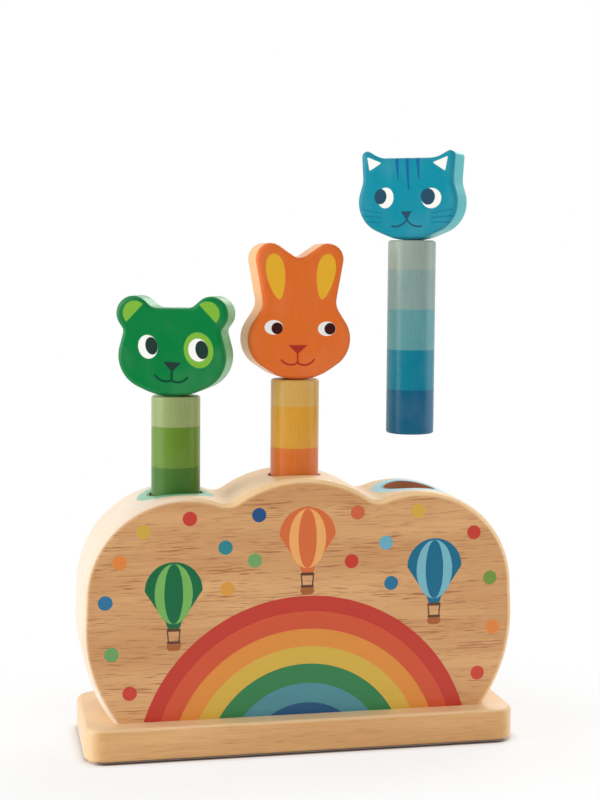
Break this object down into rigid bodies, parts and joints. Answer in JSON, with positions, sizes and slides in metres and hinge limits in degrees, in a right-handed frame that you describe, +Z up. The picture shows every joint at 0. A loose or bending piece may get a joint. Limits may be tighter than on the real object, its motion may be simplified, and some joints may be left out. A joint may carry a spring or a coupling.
{
  "type": "pop up animal toy",
  "caption": "Wooden pop up toy: pegs with flat animal heads stand on springs in a drilled cloud-shaped block on a base plate, and turn and lift out.",
  "frame": {"origin": "centre of the base plate's underside, on the surface that the toy stands on", "axes": "+Z up along the pegs, +X along the row of pegs from the bear to the cat, and -Y out of the printed front"},
  "size_m": [0.2232, 0.074, 0.3047],
  "materials": {
    "base_wood": "clear satin lacquer on pale hardwood",
    "block_wood": "clear satin lacquer, printed front face",
    "bear_paint": "satin green stain and paint on wood",
    "bunny_paint": "satin orange stain and paint on wood",
    "cat_paint": "satin teal stain and paint on wood",
    "bear_bands": "satin green painted bands on wood",
    "bunny_bands": "satin orange painted bands on wood",
    "cat_bands": "satin teal painted bands on wood",
    "pin_wood": "bare beech dowel",
    "spring_steel": "bright drawn wire",
    "washer_steel": "zinc plated",
    "screw_steel": "zinc plated"
  },
  "bodies": {
    "stand": {"base_plate": "base_wood", "body_block": "block_wood", "base_screws": "screw_steel", "bear_spring_washer": "washer_steel", "bear_spring_screw": "screw_steel", "bunny_spring_washer": "washer_steel", "bunny_spring_screw": "screw_steel", "cat_spring_washer": "washer_steel", "cat_spring_screw": "screw_steel"},
    "bear_spring_coil": {"bear_spring": "spring_steel"},
    "bear_pin": {"bear_neck_pin": "pin_wood"},
    "bear_peg": {"bear_head": "bear_paint", "bear_stem": "bear_bands"},
    "bunny_spring_coil": {"bunny_spring": "spring_steel"},
    "bunny_pin": {"bunny_neck_pin": "pin_wood"},
    "bunny_peg": {"bunny_head": "bunny_paint", "bunny_stem": "bunny_bands"},
    "cat_spring_coil": {"cat_spring": "spring_steel"},
    "cat_pin": {"cat_neck_pin": "pin_wood"},
    "cat_peg": {"cat_head": "cat_paint", "cat_stem": "cat_bands"}
  },
  "joints": [
    {"name": "bear_press", "type": "slide", "parent": "stand", "child": "bear_spring_coil", "axis": [0, 0, 1], "range_m": [-0.042, 0], "stiffness_N_per_m": 170, "springref_m": 0.0035, "deforming": ["bear_spring"]},
    {"name": "bear_lift", "type": "slide", "parent": "bear_spring_coil", "child": "bear_pin", "axis": [0, 0, 1], "range_m": [0, 0.08]},
    {"name": "bear_turn", "type": "hinge", "parent": "bear_pin", "child": "bear_peg", "pos_m": [-0.062, 0, 0.17848], "axis": [0, 0, 1], "continuous": true},
    {"name": "bunny_press", "type": "slide", "parent": "stand", "child": "bunny_spring_coil", "axis": [0, 0, 1], "range_m": [-0.042, 0], "stiffness_N_per_m": 170, "springref_m": 0.0035, "deforming": ["bunny_spring"]},
    {"name": "bunny_lift", "type": "slide", "parent": "bunny_spring_coil", "child": "bunny_pin", "axis": [0, 0, 1], "range_m": [0, 0.08]},
    {"name": "bunny_turn", "type": "hinge", "parent": "bunny_pin", "child": "bunny_peg", "pos_m": [0, 0, 0.1865], "axis": [0, 0, 1], "continuous": true},
    {"name": "cat_press", "type": "slide", "parent": "stand", "child": "cat_spring_coil", "axis": [0, 0, 1], "range_m": [-0.042, 0], "stiffness_N_per_m": 170, "deforming": ["cat_spring"]},
    {"name": "cat_lift", "type": "slide", "parent": "cat_spring_coil", "child": "cat_pin", "axis": [0, 0, 1], "range_m": [-0.08, 0]},
    {"name": "cat_turn", "type": "hinge", "parent": "cat_pin", "child": "cat_peg", "pos_m": [0.062, 0, 0.25848], "axis": [0, 0, 1], "continuous": true}
  ]
}
